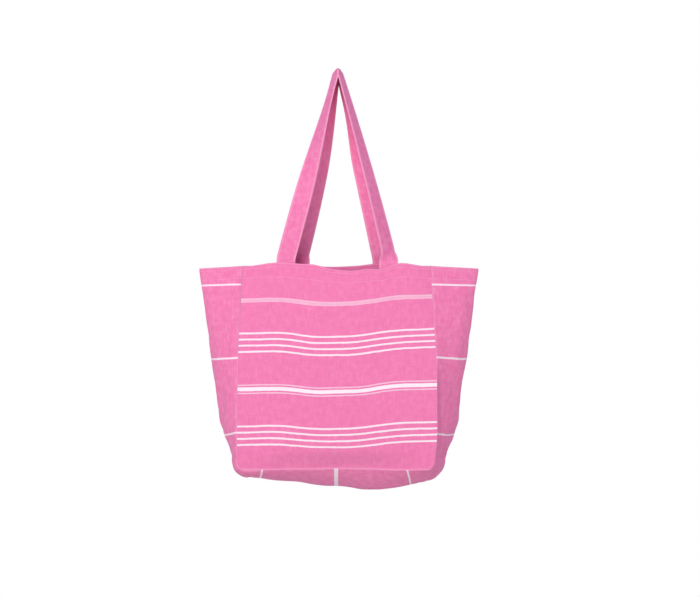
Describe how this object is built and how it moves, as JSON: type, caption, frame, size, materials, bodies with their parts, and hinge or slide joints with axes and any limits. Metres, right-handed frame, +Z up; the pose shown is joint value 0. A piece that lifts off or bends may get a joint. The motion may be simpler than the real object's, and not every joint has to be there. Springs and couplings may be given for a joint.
{
  "type": "beach bag",
  "caption": "Soft open-topped fabric beach bag with a sagging gusset base and swinging shoulder handles, hanging from its handles.",
  "frame": {"origin": "the underside of the handles' crest, midway between the two handles, where a hook or a hand holds the bag", "axes": "+X to the right across the bag as seen from its front, +Y from its front panel to its back panel, +Z up along the hanging bag"},
  "size_m": [0.4964, 0.1582, 0.7538],
  "materials": {
    "striped_cloth": "matt plain-woven pink cloth with woven white stripes",
    "band_cloth": "matt plain-woven pink cloth with single white cross lines",
    "facing_cloth": "matt plain-woven deep pink cloth",
    "binding_tape": "matt woven tape",
    "strap_cloth": "matt plain-woven pink cloth strap"
  },
  "bodies": {
    "bag": {"front_panel": "striped_cloth", "back_panel": "striped_cloth", "gusset_band": "band_cloth", "mouth_facing": "facing_cloth", "front_seam_binding": "binding_tape", "back_seam_binding": "binding_tape", "front_handle_left_end": "strap_cloth", "front_handle_right_end": "strap_cloth", "back_handle_left_end": "strap_cloth", "back_handle_right_end": "strap_cloth"},
    "front_handle": {"front_handle": "strap_cloth"},
    "back_handle": {"back_handle": "strap_cloth"}
  },
  "joints": [
    {"name": "front_handle_swing", "type": "hinge", "parent": "bag", "child": "front_handle", "pos_m": [0, -0.02809, -0.349], "axis": [1, 0, 0], "range_deg": [0, 160]},
    {"name": "back_handle_swing", "type": "hinge", "parent": "bag", "child": "back_handle", "pos_m": [0, 0.02843, -0.349], "axis": [-1, 0, 0], "range_deg": [0, 160]}
  ]
}
